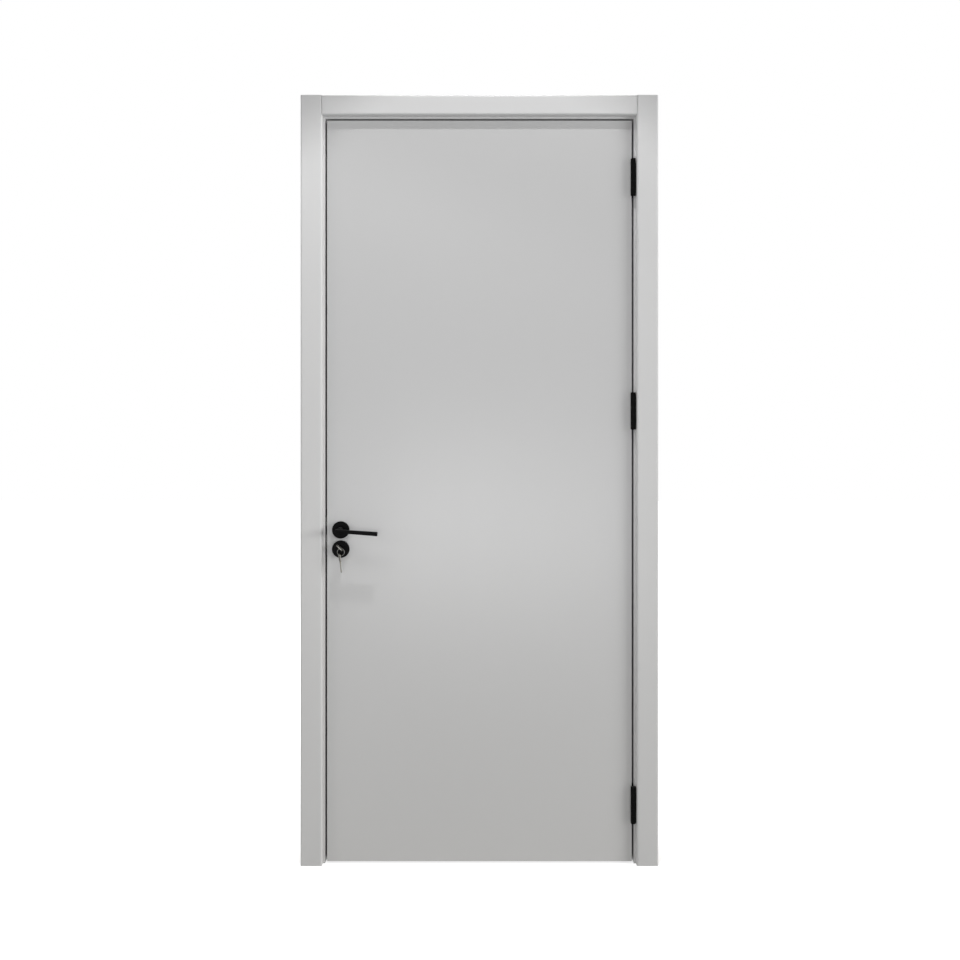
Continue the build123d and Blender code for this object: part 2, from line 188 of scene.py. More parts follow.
def paintedBoard(name, paint, along, rawSide=None):
    finish = Finish(name, paint["roughness"], 0, paint["specular"])
    lengthwise, across = paint["brushStretch"]
    streak = {"X": (lengthwise, across, across), "Z": (across, across, lengthwise)}[along]
    brush = finish.noise(paint["brush"], 4, streak, 0.6)
    cloud = finish.noise(paint["cloud"], 3)
    stipple = finish.noise(paint["stipple"], 2)
    # painted shade: the colour darkens towards the foot, standing in for the light falling off lower down
    foot = finish.ramp(finish.axis("Z") * (1 / paint["footHeight"]), (0, 1), (1, 0))
    color = finish.blend(cloud * 0.6 + brush * 0.3, paint["color"], paint["shade"])
    color = finish.blend(foot * paint["footShare"], color, paint["footShade"])
    roughness = paint["roughness"] - 0.05 + brush * 0.06 + stipple * 0.05
    normal = finish.bump(stipple, paint["bumpStrength"], paint["stippleBump"])
    normal = finish.bump(brush, paint["bumpStrength"], paint["brushBump"], normal)
    if rawSide:
        grain = finish.noise(paint["rawGrain"], 4, (1, 1, 1), 0.7)
        raw = finish.blend(grain, paint["rawColor"], paint["rawDark"])
        side = rawSide(finish)
        color = finish.blend(side, color, raw)
        roughness = roughness + side * paint["rawRoughness"]
    finish.set(Base_Color=color, Roughness=roughness, Normal=normal)
    return finish.material


# The flush leaf: a smooth rolled coat

leafPaint = {
    "color": (0.560, 0.560, 0.560),
    "shade": (0.540, 0.540, 0.540),
    # painted shade towards the foot, as on the frame
    "footShade": (0.552, 0.547, 0.534),
    "footHeight": 1.0,
    "footShare": 0.8,
    "roughness": 0.32,
    "specular": 0.5,
    "cloud": 1.6,
    "lap": 5.0,                                 # broad strokes of the roller
    "lapStretch": (1.4, 1, 0.16),
    "lapBump": 0.002,
    "stipple": 430,
    "stippleBump": 0.0003,
}


def rolledPaint(name, paint):
    finish = Finish(name, paint["roughness"], 0, paint["specular"])
    cloud = finish.noise(paint["cloud"], 3)
    lap = finish.noise(paint["lap"], 2, paint["lapStretch"])
    stipple = finish.noise(paint["stipple"], 3, (1, 1, 1), 0.55)
    # painted shade: the colour darkens towards the foot, standing in for the light falling off lower down
    foot = finish.ramp(finish.axis("Z") * (1 / paint["footHeight"]), (0, 1), (1, 0))
    color = finish.blend(cloud * 0.5 + lap * 0.5, paint["color"], paint["shade"])
    color = finish.blend(foot * paint["footShare"], color, paint["footShade"])
    roughness = paint["roughness"] - 0.06 + lap * 0.08 + stipple * 0.06
    normal = finish.bump(stipple, 0.14, paint["stippleBump"])
    normal = finish.bump(lap, 0.06, paint["lapBump"], normal)
    finish.set(Base_Color=color, Roughness=roughness, Normal=normal)
    return finish.material


# Matt black powder coat, with marks of handling; faces that look up get a painted highlight of the light
# from above

blackCoat = {
    "color": (0.0016, 0.0016, 0.0017),
    "handled": (0.0032, 0.0032, 0.0032),
    "upwardHighlight": (0.020, 0.020, 0.020),           # painted highlight on the faces that look up
    "highlightFrom": 0.45,                         # how far up a face looks, from 0 to 1
    "highlightFull": 0.95,
    "roughness": 0.36,
    "specular": 0.04,
    "grain": 1900,
    "grainBump": 0.00012,
    "handling": 45,
}


def powderCoat(name, coat):
    finish = Finish(name, coat["roughness"], 0, coat["specular"])
    grain = finish.noise(coat["grain"], 2)
    handling = finish.noise(coat["handling"], 3)
    color = finish.blend(handling, coat["color"], coat["handled"])
    # painted highlight: faces that look up are lightened, standing in for the light from above catching
    # them
    facing = finish.add("ShaderNodeTexCoord", out="Normal")
    upward = finish.add("ShaderNodeSeparateXYZ", None, {0: facing}, "Z")
    upwardLight = finish.ramp(upward, (coat["highlightFrom"], 0), (coat["highlightFull"], 1))
    color = finish.blend(upwardLight, color, coat["upwardHighlight"])
    roughness = coat["roughness"] + grain * 0.10 + handling * 0.08
    normal = finish.bump(grain, 0.22, coat["grainBump"])
    finish.set(Base_Color=color, Roughness=roughness, Normal=normal)
    return finish.material


# Brushed steel of the lock's face and strike

lockSteel = {
    "color": (0.46, 0.455, 0.44),
    "dark": (0.33, 0.325, 0.31),
    "roughness": 0.32,
    "streaks": 9.0,
    "streakStretch": (30, 30, 1),
    "streakBump": 0.00008,
    "smudge": 60,
}


def brushedSteel(name, steel):
    finish = Finish(name, steel["roughness"], 1.0)
    streaks = finish.noise(steel["streaks"], 5, steel["streakStretch"], 0.65)
    smudge = finish.noise(steel["smudge"], 3)
    color = finish.blend(streaks, steel["color"], steel["dark"])
    roughness = steel["roughness"] - 0.08 + streaks * 0.18 + smudge * 0.08
    normal = finish.bump(streaks, 0.12, steel["streakBump"])
    finish.set(Base_Color=color, Roughness=roughness, Normal=normal)
    return finish.material


# Nickel on the keys, worn thin in patches where the brass warms it. The ring's steel wears alike. Both are
# coloured far darker than bare metal: painted shade standing in for the dark room these metals mirror.

keyNickel = {"color": (0.22, 0.215, 0.195), "worn": (0.26, 0.21, 0.13), "roughness": 0.36}
ringSteel = {"color": (0.11, 0.11, 0.105), "worn": (0.15, 0.14, 0.12), "roughness": 0.26}
platingWear = {
    "scratches": 700,
    "scratchStretch": (1, 6, 1),
    "scratchBump": 0.00006,
    "patches": 160,
    "patchFrom": 0.52,
    "patchFull": 0.70,
    "patchShare": 0.45,
}


def platedKey(name, plating, wear):
    finish = Finish(name, plating["roughness"], 1.0)
    scratches = finish.noise(wear["scratches"], 4, wear["scratchStretch"], 0.7)
    patches = finish.ramp(finish.noise(wear["patches"], 3), (wear["patchFrom"], 0), (wear["patchFull"], 1))
    color = finish.blend(patches * wear["patchShare"], plating["color"], plating["worn"])
    roughness = plating["roughness"] - 0.05 + scratches * 0.16
    normal = finish.bump(scratches, 0.10, wear["scratchBump"])
    finish.set(Base_Color=color, Roughness=roughness, Normal=normal)
    return finish.material


# Soft grey seal

sealRubber = {
    "color": (0.44, 0.44, 0.44),
    "bloomColor": (0.50, 0.50, 0.50),
    "roughness": 0.7,
    "specular": 0.3,
    "bloom": 90,
    "bloomStretch": (1, 1, 0.2),
    "grain": 1400,
    "grainBump": 0.0001,
}


def sealMaterial(name, rubber):
    finish = Finish(name, rubber["roughness"], 0, rubber["specular"])
    bloom = finish.noise(rubber["bloom"], 3, rubber["bloomStretch"])
    grain = finish.noise(rubber["grain"], 2)
    finish.set(
        Base_Color=finish.blend(bloom, rubber["color"], rubber["bloomColor"]),
        Roughness=rubber["roughness"] - 0.05 + bloom * 0.12,
        Normal=finish.bump(grain, 0.15, rubber["grainBump"]),
    )
    return finish.material


# Chipped core inside the leaf, seen only where a bore cuts it

coreBoard = {
    "color": (0.42, 0.30, 0.18),
    "dark": (0.26, 0.18, 0.11),
    "roughness": 0.75,
    "chips": 260,
    "chipStretch": (1, 1, 2.2),
    "chipBump": 0.0004,
}


def coreMaterial(name, board):
    finish = Finish(name, board["roughness"])
    chips = finish.noise(board["chips"], 4, board["chipStretch"], 0.7)
    finish.set(
        Base_Color=finish.blend(chips, board["color"], board["dark"]),
        Roughness=board["roughness"] + chips * 0.15,
        Normal=finish.bump(chips, 0.4, board["chipBump"]),
    )
    return finish.material


def beyond(axis, limit, sign=1):                # mask for the faces that fitting hides
    def mask(finish):
        return finish.axis(axis) > limit if sign > 0 else finish.axis(axis) < limit
    return mask


def assign(names, material):
    for name in names:
        nodes[name].data.materials.clear()
        nodes[name].data.materials.append(material)


def finishFrame():
    hair = framePaint["rawMargin"] * mm
    hingeBack = beyond("X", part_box("lining_hinge_side")[1].x - hair)
    lockBack = beyond("X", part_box("lining_lock_side")[0].x + hair, -1)
    headBack = beyond("Z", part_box("lining_head")[1].z - hair)
    assign(["lining_hinge_side"], paintedBoard("liningHingePaint", framePaint, "Z", hingeBack))
    assign(["lining_lock_side"], paintedBoard("liningLockPaint", framePaint, "Z", lockBack))
    assign(["lining_head"], paintedBoard("liningHeadPaint", framePaint, "X", headBack))
    assign(["stop_hinge_side", "stop_lock_side"], paintedBoard("stopPaint", framePaint, "Z"))
    assign(["stop_head"], paintedBoard("stopHeadPaint", framePaint, "X"))
    for side, sign in (("front", 1), ("back", -1)):
        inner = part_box(side + "_casing_head")[1 if sign > 0 else 0].y - sign * hair
        legs = paintedBoard(side + "LegPaint", framePaint, "Z", beyond("Y", inner, sign))
        head = paintedBoard(side + "HeadPaint", framePaint, "X", beyond("Y", inner, sign))
        assign([side + "_casing_hinge_side", side + "_casing_lock_side"], legs)
        assign([side + "_casing_head"], head)
    assign(["seal_hinge_side", "seal_lock_side", "seal_head"], sealMaterial("sealRubber", sealRubber))
    print("frame finished")


def finishLeaf():
    coat = rolledPaint("leafPaint", leafPaint)
    assign(["leaf_front_skin", "leaf_back_skin"], coat)
    assign(["lock_stile", "hinge_stile", "top_rail", "bottom_rail"], coat)
    assign(["leaf_core"], coreMaterial("coreBoard", coreBoard))
    print("leaf finished")


def finishHardware():
    plain = powderCoat("blackCoat", blackCoat)
    hingeParts = ("lining_plate", "leaf_plate", "pin")
    handleParts = ("lever_rose", "key_rose", "lever")
    names = [f"hinge_{part}_{place}" for place in hinges for part in hingeParts]
    names += [f"{side}_{part}" for side in ("front", "back") for part in handleParts]
    assign(names + ["lock_cylinder", "cylinder_plug"], plain)
    edge = brushedSteel("lockSteel", lockSteel)
    assign(["lock_forend", "strike_plate", "lock_case", "latch_bolt", "dead_bolt", "spindle"], edge)
    nickel = platedKey("keyNickel", keyNickel, platingWear)
    wire = platedKey("ringSteel", ringSteel, platingWear)
    assign(["key", "spare_key"], nickel)
    assign(["key_ring"], wire)
    print("hardware finished")
    return plain, edge, nickel, wire


# Places read from the frame

def jointPlace(name):
    return Vector(next(joint["pos_m"] for joint in frame["joints"] if joint["name"] == name))


def leafFace(side):
    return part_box("leaf_front_skin")[0].y if side == "front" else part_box("leaf_back_skin")[1].y


# Mesh helpers

mergeDistance = 0.001 * mm
sharpAngle = 32.0                               # an edge that turns further stays sharp
bevelAngle = 35.0


def closedMesh(shape, name):
    bmesh.ops.remove_doubles(shape, verts=shape.verts, dist=mergeDistance)
    bmesh.ops.recalc_face_normals(shape, faces=shape.faces)
    mesh = bpy.data.meshes.new(name)
    shape.to_mesh(mesh)
    shape.free()
    return mesh


def loft(rings, name):                          # closed skin over rings that have as many points each
    shape = bmesh.new()
    rows = [[shape.verts.new(point) for point in ring] for ring in rings]
    count = len(rows[0])
    for first, second in zip(rows, rows[1:]):
        for i in range(count):
            j = (i + 1) % count
            shape.faces.new((first[i], first[j], second[j], second[i]))
    shape.faces.new(rows[0][::-1])
    shape.faces.new(rows[-1])
    return closedMesh(shape, name)


def holderOf(mesh):                             # a plain object that carries modifiers for a while
    holder = bpy.data.objects.new("holder", mesh)
    bpy.context.scene.collection.objects.link(holder)
    return holder


def applied(holder):                            # what the modifiers make, as a plain mesh
    bpy.context.view_layer.update()
    graph = bpy.context.evaluated_depsgraph_get()
    mesh = bpy.data.meshes.new_from_object(holder.evaluated_get(graph), depsgraph=graph)
    bpy.data.objects.remove(holder)
    return mesh


def combine(base, tools, operation="DIFFERENCE"):
    holder = holderOf(base)
    helpers = [holderOf(tool) for tool in tools]
    for helper in helpers:
        step = holder.modifiers.new("combine", "BOOLEAN")
        step.solver = "EXACT"
        step.operation = operation
        step.object = helper
    mesh = applied(holder)
    for helper in helpers:
        bpy.data.objects.remove(helper)
    return mesh


def soften(mesh, width, segments=2):
    holder = holderOf(mesh)
    edge = holder.modifiers.new("soften", "BEVEL")
    edge.width = width * mm
    edge.segments = segments
    edge.limit_method = "ANGLE"
    edge.angle_limit = math.radians(bevelAngle)
    return applied(holder)


def moved(mesh, matrix):
    mesh.transform(matrix)
    if matrix.determinant() < 0:
        mesh.flip_normals()
    return mesh


def finished(name, mesh, material, body, slotName, *replaced):
    mesh.name = name
    mesh.materials.clear()
    mesh.materials.append(material)
    mesh.shade_smooth()
    mesh.set_sharp_from_angle(angle=math.radians(sharpAngle))
    piece = bpy.data.objects.new(name, mesh)
    bpy.context.scene.collection.objects.link(piece)
    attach(piece, body)
    if replaced:
        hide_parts(*replaced)


# Lever handles: a round neck behind a flat tapered grip, on both faces of the leaf

lever = {
    "neckRadius": 8.0,
    "neckRound": 2.0,
    "faceGap": 0.5,
    "standoff": 50.0,                           # leaf's face to the grip's middle
    "gripDepth": 12.0,
    "gripRound": 2.5,
    "heel": 9.0,                                # grip past the spindle's axis
    "reach": 107.0,
    "rootHeight": 9.6,
    "tipHeight": 11.5,
    "endRound": 1.2,
    "droop": 4.2,
    "grubRadius": 2.2,                          # hole for the grub screw
    "grubGap": 0.1,                             # round the screw in its hole
    "grubSides": 24,
    "grubHoleDepth": 2.2,
    "grubLength": 1.2,
    "grubDepth": 1.0,                           # screw's end below the neck's surface
    "grubDistance": 16.0,                       # from the leaf's face
    "socketRadius": 1.2,
    "socketDepth": 0.9,
    "socketSides": 6,
    "overshoot": 1.0,                           # hole's start outside the neck
}


def circlePoints(radius, count=64):
    turns = [math.tau * i / count for i in range(count)]
    return [(radius * math.cos(turn), radius * math.sin(turn)) for turn in turns]


def roundedRectangle(halfWidth, halfHeight, radius, steps=5):
    points = []
    for corner, (signX, signY) in enumerate(((1, 1), (-1, 1), (-1, -1), (1, -1))):
        for step in range(steps + 1):
            angle = math.radians(90 * (corner + step / steps))
            x = signX * (halfWidth - radius) + radius * math.cos(angle)
            y = signY * (halfHeight - radius) + radius * math.sin(angle)
            points.append((x, y))
    return points


def roundedEnd(radius, steps=5):                # distances from the end, each with its inset
    angles = [math.radians(90 * step / steps) for step in range(steps + 1)]
    return [(radius * (1 - math.cos(angle)), radius * (1 - math.sin(angle))) for angle in angles]


def neckMesh(end):
    stations = [(lever["faceGap"], 0)]
    stations += [(end - along, inset) for along, inset in reversed(roundedEnd(lever["neckRound"]))]
    rings = []
    for distance, inset in stations:
        outline = circlePoints(lever["neckRadius"] - inset)
        rings.append([Vector((x, -distance, z)) * mm for x, z in outline])
    return loft(rings, "neck")


def gripMesh():
    length = lever["reach"] + lever["heel"]
    ends = roundedEnd(lever["endRound"])
    stations = ends + [(length / 2, 0)] + [(length - along, inset) for along, inset in reversed(ends)]
    rings = []
    for along, inset in stations:
        share = along / length
        half = (lever["rootHeight"] * (1 - share) + lever["tipHeight"] * share) / 2 - inset
        outline = roundedRectangle(lever["gripDepth"] / 2 - inset, half, lever["gripRound"] - inset)
        x = along - lever["heel"]
        rings.append([Vector((x, depth - lever["standoff"], height)) * mm for depth, height in outline])
    return moved(loft(rings, "grip"), Matrix.Rotation(math.radians(lever["droop"]), 4, "Y"))


def grubRing(outline, z):
    return [Vector((x, y - lever["grubDistance"], z)) * mm for x, y in outline]


def grubHole():
    outline = circlePoints(lever["grubRadius"], lever["grubSides"])
    under = -lever["neckRadius"]
    heights = (under - lever["overshoot"], under + lever["grubHoleDepth"])
    return loft([grubRing(outline, z) for z in heights], "grubHole")


def grubScrew():                                # cup with a hexagon socket, open downwards
    end = lever["grubDepth"] - lever["neckRadius"]
    outer = circlePoints(lever["grubRadius"] - lever["grubGap"], lever["grubSides"])
    corners = circlePoints(lever["socketRadius"], lever["socketSides"])
    parts = lever["grubSides"] // lever["socketSides"]
    inner = []
    for (x0, y0), (x1, y1) in zip(corners, corners[1:] + corners[:1]):
        inner += [(x0 + (x1 - x0) * part / parts, y0 + (y1 - y0) * part / parts) for part in range(parts)]
    levels = (
        (outer, end + lever["grubLength"]),
        (outer, end),
        (inner, end),
        (inner, end + lever["socketDepth"]),
    )
    return loft([grubRing(outline, z) for outline, z in levels], "grub")


def buildLevers(coat, steel):
    axis = jointPlace("lever_turn")
    end = lever["standoff"] - lever["gripDepth"] / 2 + lever["gripRound"]
    for side in ("front", "back"):
        place = Matrix.Translation((axis.x, leafFace(side), axis.z))
        if side == "back":
            place = place @ Matrix.Scale(-1, 4, (0, 1, 0))
        body = combine(combine(neckMesh(end), [gripMesh()], "UNION"), [grubHole()])
        name = side + "_lever"
        finished(side + "LeverHandle", moved(body, place), coat, "lever_handles", "black_metal", name)
        finished(side + "GrubScrew", moved(grubScrew(), place), steel, "lever_handles", "lock_steel")
    print("levers built")


# Keys: a bow with a raised rim and a slot, a collar, and a grooved blade with cuts

keyShape = {
    "thickness": 2.2,
    "bladeWidth": 8.0,
    "bladeLength": 27.5,
    "tipChamfer": 2.2,
    "cutSideChamfer": 1.76,
    "cutDepths": (1.5, 0.7, 1.6, 1.0, 1.3),
    "cutFlat": 0.45,                            # half the flat at a cut's foot
    "collarWidth": 10.0,
    "collarLength": 2.5,
    "bowWidth": 22.5,
    "bowLength": 22.0,
    "bowRound": 6.0,
    "slotWidth": 12.4,
    "slotLength": 6.5,
    "slotRoundShare": 0.49,                     # of its length
    "roundSteps": 8,
    "endBar": 3.0,
    "rim": 1.8,                                 # raised border of the bow
    "rimHeight": 0.3,
    "grooveWidth": 1.1,
    "grooveDepth": 0.5,
    "grooveAside": 1.2,
    "overshoot": 1.0,                           # grooves past the tip
    "edge": 0.12,
}


def sheet(outline, x):                          # outline in the key's own length and width
    return [Vector((x, along, across)) * mm for along, across in outline]


def prism(outline, halfThickness):              # both sides of the key's middle plane
    return loft([sheet(outline, -halfThickness), sheet(outline, halfThickness)], "prism")


def roundedAt(place, length, width, radius):
    outline = roundedRectangle(length / 2, width / 2, radius, keyShape["roundSteps"])
    return [(place + along, across) for along, across in outline]


def bladeOutline():
    half = keyShape["bladeWidth"] / 2
    length = keyShape["bladeLength"]
    chamfer = keyShape["tipChamfer"]
    cuts = keyShape["cutDepths"]
    pitch = length / (len(cuts) + 1)
    flat = keyShape["cutFlat"]
    points = [(0, -half), (length - chamfer, -half), (length, chamfer - half), (length, half - chamfer)]
    points.append((length - keyShape["cutSideChamfer"], half))
    for number in range(len(cuts), 0, -1):
        place, depth = pitch * number, cuts[number - 1]
        points += [(place + depth + flat, half), (place + flat, half - depth)]
        points += [(place - flat, half - depth), (place - depth - flat, half)]
    return points + [(0, half)]


def keyMesh():
    half = keyShape["thickness"] / 2
    neck = -keyShape["collarLength"]
    collar = keyShape["collarWidth"] / 2
    bowLength, bowWidth, bowRound = keyShape["bowLength"], keyShape["bowWidth"], keyShape["bowRound"]
    slotLength, rim = keyShape["slotLength"], keyShape["rim"]
    middle = neck - bowLength / 2
    slotMiddle = neck - bowLength + keyShape["endBar"] + slotLength / 2
    outline = roundedAt(middle, bowLength, bowWidth, bowRound)
    outline += [(neck, -collar), (0, -collar)] + bladeOutline() + [(0, collar), (neck, collar)]
    slot = roundedAt(slotMiddle, slotLength, keyShape["slotWidth"], slotLength * keyShape["slotRoundShare"])
    field = roundedAt(middle, bowLength - 2 * rim, bowWidth - 2 * rim, bowRound - rim)
    start, end = neck / 2, keyShape["bladeLength"] + keyShape["overshoot"]
    tools = [prism(slot, 2 * half)]
    for sign in (-1, 1):
        face = Matrix.Translation((sign * half * mm, 0, 0))
        low = sign * keyShape["grooveAside"] - keyShape["grooveWidth"] / 2
        high = low + keyShape["grooveWidth"]
        groove = [(start, low), (end, low), (end, high), (start, high)]
        tools.append(moved(prism(field, keyShape["rimHeight"]), face))
        tools.append(moved(prism(groove, keyShape["grooveDepth"]), face))
    return soften(combine(prism(outline, half), tools), keyShape["edge"])


keyPlaces = {
    "turned": 46.5,                             # key in the lock, from upright
    "spareTurn": 20.0,                          # hanging key, from edge-on
    "spareTilt": 6.5,
    "spareAside": 4.0,                          # seat on the ring, from below its middle
    "seatGap": 0.5,                             # slack between key and wire
}


def ringPlace():
    low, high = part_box("key_ring")
    return (low + high) / 2, (high.y - low.y) / 2, (high.x - low.x) / 2


def turnAbout(axis, degrees):
    return Matrix.Rotation(math.radians(degrees), 4, axis)


def buildKeys(nickel):
    turned = Matrix.Translation(jointPlace("key_turn")) @ turnAbout("Y", -keyPlaces["turned"])
    turned.translation.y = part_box("key")[0].y + (keyShape["collarLength"] + keyShape["bowLength"]) * mm
    finished("lockKey", moved(keyMesh(), turned), nickel, "turned_key", "key_nickel", "key")
    center, wire, outer = ringPlace()
    slotEnd = (keyShape["collarLength"] + keyShape["bowLength"] - keyShape["endBar"]) * mm
    aside = keyPlaces["spareAside"] * mm
    drop = math.sqrt((outer - 2 * wire) ** 2 - aside ** 2) - keyPlaces["seatGap"] * mm
    seat = Matrix.Translation(center - Vector((aside, 0, drop)))
    hang = turnAbout("Y", -keyPlaces["spareTilt"]) @ turnAbout("Z", keyPlaces["spareTurn"])
    hang = seat @ hang @ turnAbout("X", -90) @ Matrix.Translation((0, slotEnd, 0))
    finished("hangingKey", moved(keyMesh(), hang), nickel, "hanging_ring", "key_nickel", "spare_key")
    print("keys built")


# Geometry Nodes

class Network(Graph):                           # a node group with named inputs
    def __init__(self, name):
        tree = bpy.data.node_groups.new(name, "GeometryNodeTree")
        tree.interface.new_socket("Geometry", in_out="INPUT", socket_type="NodeSocketGeometry")
        tree.interface.new_socket("Geometry", in_out="OUTPUT", socket_type="NodeSocketGeometry")
        super().__init__(tree)
        self.entry = self.add("NodeGroupInput").socket.node

    def given(self, name):
        return Signal(self, self.entry.outputs[name])

    def input(self, name, kind="Float"):
        self.tree.interface.new_socket(name, in_out="INPUT", socket_type="NodeSocket" + kind)
        return self.given(name)

    def node(self, kind, settings=None, sockets=None, out=0):
        return self.add("GeometryNode" + kind, settings, sockets, out)

    def upward(self, z):
        return self.add("ShaderNodeCombineXYZ", None, {"Z": z})

    def close(self, geometry, material):
        solid = self.node("RealizeInstances", None, {0: geometry})
        coated = self.node("SetMaterial", None, {"Geometry": solid, "Material": material})
        self.add("NodeGroupOutput", None, {0: coated})

    def run(self, mesh, values):
        holder = holderOf(mesh)
        step = holder.modifiers.new("network", "NODES")
        step.node_group = self.tree
        for item in self.tree.interface.items_tree:
            if item.name in values:
                step[item.identifier] = values[item.name]
        return applied(holder)


# Split ring: nearly two turns of flat wire, with the crank between them

splitRing = {
    "overlapGap": 0.07,                         # share of a turn that only the crank fills
    "wireWidth": 1.3,
    "wireHeight": 0.68,
    "spacing": 0.72,                            # middle of one turn to the middle of the other
    "edge": 0.16,
    "edgePoints": 3,
    "pointsPerTurn": 96,
    "crankTurn": 170.0,                         # where the crank sits, round the ring
}


def ringNetwork():
    net = Network("splitRingWire")
    radius, turns, spacing = net.input("Radius"), net.input("Turns"), net.input("Spacing")
    crank, width, height = net.input("Crank Share"), net.input("Wire Width"), net.input("Wire Height")
    edge, material = net.input("Edge Round"), net.input("Material", "Material")
    sockets = {
        "Resolution": splitRing["pointsPerTurn"], "Rotations": turns,
        "Start Radius": radius, "End Radius": radius, "Height": 0.0,
    }
    coil = net.node("CurveSpiral", None, sockets)
    along = net.node("SplineParameter")
    sockets = {0: along, 1: 0.5 - crank * 0.5, 2: 0.5 + crank * 0.5, 3: spacing * -0.5, 4: spacing * 0.5}
    rise = net.add("ShaderNodeMapRange", {"interpolation_type": "SMOOTHSTEP"}, sockets)
    coil = net.node("SetPosition", None, {"Geometry": coil, "Offset": net.upward(rise)})
    coil = net.node("SetCurveNormal", {"mode": "Z_UP"}, {"Curve": coil})
    profile = net.node("CurvePrimitiveQuadrilateral", None, {"Width": width, "Height": height})
    sockets = {"Curve": profile, "Radius": edge, "Count": splitRing["edgePoints"]}
    profile = net.node("FilletCurve", {"mode": "POLY"}, sockets)
    wire = net.node("CurveToMesh", None, {"Curve": coil, "Profile Curve": profile, "Fill Caps": True})
    net.close(wire, material)
    return net


def buildRing(wireSteel):
    center, wire, outer = ringPlace()
    turns = 2 - splitRing["overlapGap"]
    values = {
        "Radius": outer - splitRing["wireWidth"] / 2 * mm,
        "Turns": turns,
        "Spacing": splitRing["spacing"] * mm,
        "Crank Share": splitRing["overlapGap"] / turns,
        "Wire Width": splitRing["wireWidth"] * mm,
        "Wire Height": splitRing["wireHeight"] * mm,
        "Edge Round": splitRing["edge"] * mm,
        "Material": wireSteel,
    }
    mesh = ringNetwork().run(bpy.data.meshes.new("start"), values)
    stand = Matrix.Translation(center) @ turnAbout("X", 90) @ turnAbout("Z", splitRing["crankTurn"])
    finished("splitRing", moved(mesh, stand), wireSteel, "hanging_ring", "key_nickel", "key_ring")
    print("ring built")


# Countersunk screws with a cross recess, in the hinge plates, forend and strike

screw = {
    "headRadius": 3.85,
    "headDepth": 1.85,
    "shankRadius": 2.1,
    "shankLength": 4.0,
    "shankTaper": 0.9,                          # tip's radius as a share of the shank's
    "crownHeight": 0.25,
    "crownTaper": 0.8,
    "sides": 36,
    "recessLength": 4.4,
    "recessWidth": 0.9,
    "recessDepth": 1.3,
    "hingeRows": ((9.0, 12.0), (24.0, 35.0)),   # from the plate's back edge, and from its ends
    "plateMargin": 8.0,
    "seed": 7,
}


def screwNetwork():
    net = Network("countersunkScrews")
    headRadius, headDepth = net.input("Head Radius"), net.input("Head Depth")
    crown = net.input("Crown Height")
    shankRadius, shankLength = net.input("Shank Radius"), net.input("Shank Length")
    length, width, depth = net.input("Recess Length"), net.input("Recess Width"), net.input("Recess Depth")
    seed, material = net.input("Seed", "Int"), net.input("Material", "Material")

    def cone(top, bottom, tall, base):
        sockets = {"Vertices": screw["sides"], "Radius Top": top, "Radius Bottom": bottom, "Depth": tall}
        shape = net.node("MeshCone", {"fill_type": "NGON"}, sockets)
        return net.node("Transform", None, {"Geometry": shape, "Translation": net.upward(base)})

    def boolean(operation, sockets):
        return net.node("MeshBoolean", {"operation": operation, "solver": "EXACT"}, sockets)

    head = cone(headRadius, shankRadius, headDepth, headDepth * -1)
    dome = cone(headRadius * screw["crownTaper"], headRadius, crown, 0.0)
    tip = shankRadius * screw["shankTaper"]
    shank = cone(shankRadius, tip, shankLength, (headDepth + shankLength) * -1)
    whole = boolean("UNION", {"Mesh 2": [head, dome, shank]})
    size = net.add("ShaderNodeCombineXYZ", None, {0: length, 1: width, 2: depth * 2})
    bar = net.node("MeshCube", None, {"Size": size})
    bar = net.node("Transform", None, {"Geometry": bar, "Translation": net.upward(crown)})
    cross = net.node("Transform", None, {"Geometry": bar, "Rotation": (0, 0, math.radians(90))})
    carved = boolean("DIFFERENCE", {"Mesh 1": whole, "Mesh 2": [bar, cross]})
    facing = net.node("InputNamedAttribute", {"data_type": "FLOAT_VECTOR"}, {"Name": "facing"})
    turn = net.add("FunctionNodeAlignRotationToVector", {"axis": "Z"}, {"Vector": facing})
    limits = {2: -math.pi / 4, 3: math.pi / 4, 8: seed}
    spin = net.add("FunctionNodeRandomValue", {"data_type": "FLOAT"}, limits, 1)
    own = net.add("FunctionNodeAxisAngleToRotation", None, {"Axis": (0, 0, 1), "Angle": spin})
    sockets = {"Rotation": turn, "Rotate By": own}
    turn = net.add("FunctionNodeRotateRotation", {"rotation_space": "LOCAL"}, sockets)
    sockets = {"Points": net.given("Geometry"), "Instance": carved, "Rotation": turn}
    placed = net.node("InstanceOnPoints", None, sockets)
    net.close(placed, material)
    return net


def screwPoints(places):                        # a vertex at each place, with the way its head faces
    mesh = bpy.data.meshes.new("screwPoints")
    mesh.from_pydata([place for place, way in places], [], [])
    facing = mesh.attributes.new("facing", "FLOAT_VECTOR", "POINT")
    for i, (place, way) in enumerate(places):
        facing.data[i].vector = way
    return mesh


def hingeScrewPlaces(part, x, way):
    places = []
    for hinge in hinges:
        low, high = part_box(f"hinge_{part}_plate_{hinge}")
        for inset, margin in screw["hingeRows"]:
            y = high.y - inset * mm
            places += [((x, y, z), way) for z in (low.z + margin * mm, high.z - margin * mm)]
    return places


def plateScrewPlaces(node, x, way):
    low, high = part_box(node)
    margin = screw["plateMargin"] * mm
    return [((x, (low.y + high.y) / 2, z), way) for z in (low.z + margin, high.z - margin)]


